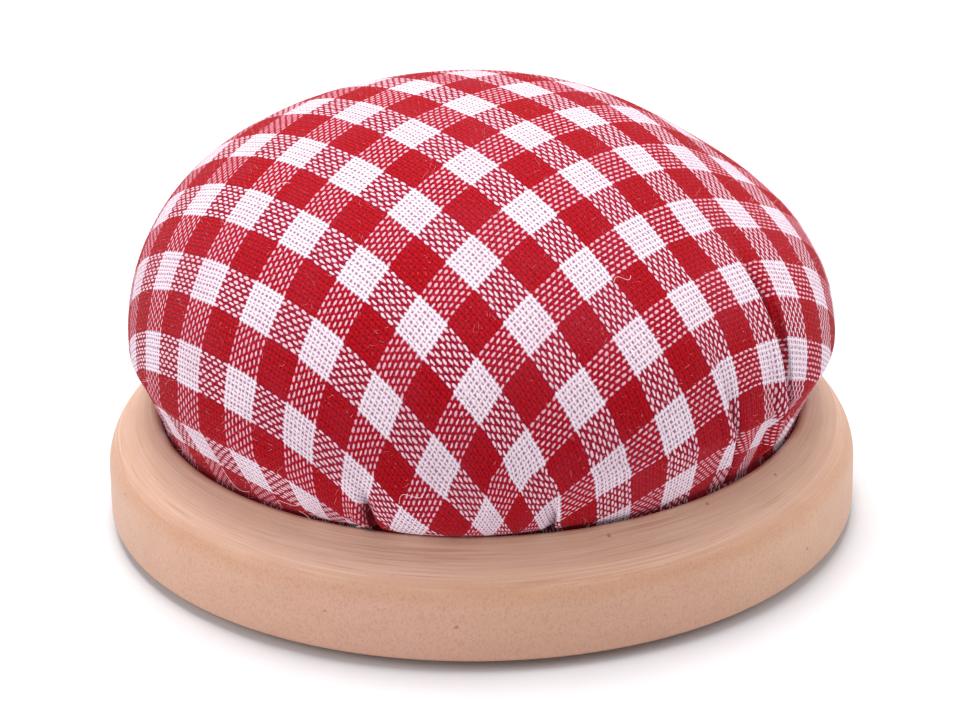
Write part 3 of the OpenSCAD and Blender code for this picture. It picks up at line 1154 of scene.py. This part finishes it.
def add_base(material):
    """The turned base: countersunk hole, side, rounded corner, sloping rim and recess."""
    slope = math.degrees(math.atan2(RIM_Z - BASE_Z - WALL_H, BASE_R - MOUTH_R))
    corner_z = BASE_Z + WALL_H - RIM_FILLET_R * math.tan(math.radians((90 - slope) / 2))
    profile = [(SCREW_HOLE_R, BASE_Z + CONE_DEPTH)]
    profile += [(HEAD_HOLE_R, BASE_Z + HEAD_HOLE_DEPTH), (HEAD_HOLE_R, BASE_Z)]
    profile += arc(BASE_R - SOFT_EDGE_R, BASE_Z + SOFT_EDGE_R, SOFT_EDGE_R, -90, 0, 5)
    profile += arc(BASE_R - RIM_FILLET_R, corner_z, RIM_FILLET_R, 0, 90 - slope, 14)
    profile += arc(MOUTH_R + SOFT_EDGE_R, RIM_Z - SOFT_EDGE_R, SOFT_EDGE_R, 90 - slope, 180, 6)
    profile += [(MOUTH_R, RECESS_Z), (SCREW_HOLE_R, RECESS_Z)]
    piece = lathe("turned_base", profile, 256, material)
    for vertex in piece.data.vertices:
        past_mouth = math.hypot(vertex.co.x, vertex.co.y) - MOUTH_R
        vertex.co.x *= 1 + OVAL * min(1.0, max(0.0, past_mouth / OVAL_WIDTH))
    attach(piece, "root")
    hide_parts("wooden_base")


# ---- pieces inside and below

DISC_ROOM = 1.1 * MM  # the disc stops short of the cloth by this much
DISC_EDGE_R = 1.2 * MM
DISC_HOLE_R = 1.5 * MM
BAG_DEPTH = 0.55 * MM
BAG_T = 0.3 * MM
BAG_HEM_R = 26.2 * MM
BAG_FOOT_R = FOOT_R - 0.62 * MM
STUFFING_DEPTH = 0.95 * MM
FELT_COLUMNS = 240
FELT_EDGE = 0.12 * MM
THREAD_R = 0.25 * MM
THREAD_COLUMNS = 720
THREAD_TWISTS = 92
KNOT_R = 0.17 * MM
KNOT_THREAD_R = 0.16 * MM
KNOT_LIFT = 0.42 * MM


def add_backing_disc(material):
    """The plywood disc, with a little room round it for the cloth that is drawn over it."""
    low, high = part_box("backing_disc")
    edge_r = FOOT_R - DISC_ROOM - DISC_EDGE_R
    profile = [(DISC_HOLE_R, low.z)]
    profile += arc(edge_r, low.z + DISC_EDGE_R, DISC_EDGE_R, -90, 0, 6)
    profile += arc(edge_r, high.z - DISC_EDGE_R, DISC_EDGE_R, 0, 90, 6)
    profile += [(DISC_HOLE_R, high.z)]
    piece = lathe("plywood_disc", profile, 192, material)
    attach(piece, "root")
    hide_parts("backing_disc")


def layer_inside(inset, columns=180, count=56):
    """Rings a little inside the cover, crown to rim, clear of the bottoms of its tucks."""
    rows = np.linspace(0, 1, count + 1)
    turn = even_turns(columns)
    points = meridian(turn, rows)
    normal, _ = surface_frame(points)
    depth = np.full(points.shape[:2], inset)
    for tuck, line, hidden in zip(TUCKS, tuck_azimuths(rows), hidden_cloth(rows)):
        away = turned(turn[None] - line[:, None]) / math.radians(4.5)
        full = 2.2 * tuck.depth * (hidden / PLEAT_HIDDEN)
        depth += full[:, None] * np.exp(-away**2)
    depth += 0.25 * MM + 0.2 * MM * soft_lumps(turn, rows)
    return points - depth[..., None] * normal


def clear_ring(rim, radius, z):
    """The rim ring moved straight down to z, and nowhere wider than radius."""
    rim_r = np.hypot(rim[:, 0], rim[:, 1])
    ring = rim * (np.minimum(rim_r, radius) / rim_r)[:, None]
    ring[:, 2] = z
    return ring


def add_inner_bag(material):
    """A thin skin: down its outside, in under the disc, and back up its inside."""
    low, _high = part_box("inner_bag")
    outer, inner = layer_inside(BAG_DEPTH), layer_inside(BAG_DEPTH + BAG_T)
    foot, hem_top = BAG_FOOT_R, low.z + BAG_T
    straight = (11.5 * MM, 10.0 * MM)
    under = [(foot - 0.5 * MM, low.z + 0.5 * MM)]
    under += [(r, low.z) for r in (foot - 1.5 * MM, 30 * MM, BAG_HEM_R)]
    under += [(r, hem_top) for r in (BAG_HEM_R, 30 * MM, foot - 1.6 * MM)]
    under += [(foot - 0.8 * MM, low.z + 0.8 * MM)]
    rings = list(outer[1:])
    rings += [clear_ring(outer[-1], foot, z) for z in straight]
    rings += [turned_ring(r, z, outer.shape[1]) for r, z in under]
    rings += [clear_ring(inner[-1], foot - BAG_T, z) for z in reversed(straight)]
    rings += list(inner[:0:-1])
    piece = solid_cap("calico_bag", rings, outer[0, 0], inner[0, 0], material)
    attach(piece, "root")
    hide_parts("inner_bag")


def add_stuffing(material):
    """The filling: it follows the bag down to the disc and has a flat bottom."""
    low, _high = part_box("stuffing")
    body = layer_inside(STUFFING_DEPTH)
    rings = [ring for ring in body[1:] if ring[:, 2].min() > low.z + 0.8 * MM]
    edge = np.linalg.norm(rings[-1][:, :2], axis=1).mean()
    bottom = [(edge - 0.1 * MM, low.z + 0.5 * MM), (edge - 0.6 * MM, low.z)]
    bottom += [(20 * MM, low.z), (8 * MM, low.z)]
    rings += [turned_ring(r, z, body.shape[1]) for r, z in bottom]
    piece = solid_cap("fibre_stuffing", rings, body[0, 0], (0, 0, low.z), material)
    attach(piece, "root")
    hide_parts("stuffing")


def add_felt(material):
    """The felt disc, with soft edges and a slightly frayed outline."""
    low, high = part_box("felt_pad")
    random = np.random.default_rng(5)
    frayed = high.x + random.uniform(-0.12, 0.0, FELT_COLUMNS) * MM
    edge = ((0.5 * MM, high.z), (FELT_EDGE, high.z - FELT_EDGE), (0.0, high.z - 0.5 * MM))
    edge += ((FELT_EDGE, low.z + FELT_EDGE), (0.5 * MM, low.z))
    rings = [turned_ring(frayed - shrink, z, FELT_COLUMNS) for shrink, z in edge]
    piece = solid_cap("felt_disc", rings, (0, 0, high.z), (0, 0, low.z), material)
    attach(piece, "root")
    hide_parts("felt_pad")


def add_gathering_thread(material):
    """A ring of three-ply thread, with a knot."""
    low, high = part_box("gathering_thread")
    ring_r = high.x - THREAD_R
    path = turned_ring(ring_r, low.z + THREAD_R, THREAD_COLUMNS)
    vertices, faces = sweep(path, THREAD_R, 10, True, 3, ring_r * FULL_TURN / THREAD_TWISTS)
    turn = np.linspace(0, 2 * FULL_TURN, 90)
    reach = 1.2 + 0.5 * np.cos(1.5 * turn)
    knot = KNOT_R * np.stack([np.cos(turn) * reach, np.sin(turn) * reach, 0.7 * np.sin(1.5 * turn)], 1)
    more, more_faces = sweep(knot + (ring_r, 0, low.z + KNOT_LIFT), KNOT_THREAD_R, 8)
    faces += [tuple(i + len(vertices) for i in face) for face in more_faces]
    piece = add_mesh("running_thread", np.concatenate([vertices, more]), faces, material)
    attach(piece, "root")
    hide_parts("gathering_thread")


# ---- loose fibres

FUZZ_COUNT = 6000
FUZZ_R = 0.010 * MM
LONG_FIBRE_R = 0.022 * MM
LONG_FIBRE_ROOT = (0.0, 0.0)
# Azimuth, row (1 at the rim) and length in mm of loose fibres
LONG_FIBRES = (
    (-103, 0.86, 3.2), (-116, 0.90, 2.4), (-139, 0.985, 3.4), (-134, 0.985, 4.0), (-131, 0.98, 3.2),
    (-127, 0.985, 3.6), (-121, 0.985, 2.6), (-97, 0.70, 2.0), (-60, 0.55, 2.2), (-150, 0.4, 2.0),
    (30, 0.6, 2.6), (75, 0.9, 3.0), (120, 0.97, 3.4), (170, 0.8, 2.4), (-20, 0.9, 2.2),
)


def random_roots(points, random):
    """Row and column of the root of every short fibre, spread evenly over the cloth."""
    columns = points.shape[1]
    down = np.linalg.norm(points[1:] - points[:-1], axis=-1)
    along = np.linalg.norm(np.roll(points[1:], -1, 1) - points[1:], axis=-1)
    chance = np.cumsum((down * along).ravel())
    picks = np.searchsorted(chance, random.uniform(0, chance[-1], FUZZ_COUNT))
    return picks // columns + 1, picks % columns


def short_fibre(root, out, random):
    """Points of a short fibre that stands up from the cloth and bends."""
    lean = unit(out + random.normal(0, 0.7, 3))
    length = random.uniform(0.25, 0.85) * MM
    bend = random.normal(0, 0.25, 3) * length
    return [root - out * 0.1 * MM, root + lean * length * 0.5 + bend * 0.25, root + lean * length + bend]


def long_fibre(root, out, length, random):
    """Points of a long fibre that lies along the cloth and curls."""
    along = unit(np.cross(out, random.normal(0, 1, 3)))
    turn = np.linspace(0, 1, 14)
    side_curl = np.sin(turn * random.uniform(3, 7))
    random.uniform(2, 5)  # not used, but it keeps the draws of later fibres in place
    path = root + out * 0.12 * MM + np.outer(turn * length, along) * MM
    curl = side_curl[:, None] * np.cross(out, along) + np.outer(turn * (1 - turn), out) * 1.6
    return path + curl * 0.18 * length * MM


def add_fuzz(material, points, normal, cloth):
    """Short loose fibres all over the cloth, and a few long ones where it was handled."""
    random = np.random.default_rng(21)
    rows, columns = points.shape[:2]
    vertices, faces, roots = [], [], []

    def grow(path, radius, sides, on_cloth):
        more, more_faces = sweep(path, radius, sides)
        faces.extend(tuple(i + len(roots) for i in face) for face in more_faces)
        vertices.append(more)
        roots.extend([on_cloth] * len(more))

    for row, column in zip(*random_roots(points, random)):
        path = short_fibre(points[row, column], normal[row, column], random)
        grow(path, (FUZZ_R, FUZZ_R, FUZZ_R * 0.4), 3, cloth[row, column])
    for azimuth, share, length in LONG_FIBRES:
        column = int(round((azimuth % 360) / 360 * columns)) % columns
        row = int(share * (rows - 1))
        path = long_fibre(points[row, column], normal[row, column], length, random)
        grow(path, LONG_FIBRE_R, 4, LONG_FIBRE_ROOT)
    piece = add_mesh("cover_fuzz", np.concatenate(vertices), faces, material)
    lay_uv(piece.data, np.array(roots))
    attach(piece, "root")


def dress_cad(node, material):
    """Give a CAD solid that stays in view a better surface."""
    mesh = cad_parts[node].data
    mesh.materials.clear()
    mesh.materials.append(material)


add_camera()
add_studio()
add_fuzz(fuzz_material(), *add_cover(gingham_material()))
add_base(wood_material())
add_felt(felt_material())
add_inner_bag(calico_material())
add_stuffing(filling_material())
add_gathering_thread(thread_material())
add_backing_disc(plywood_material())
dress_cad("fixing_screw", steel_material())
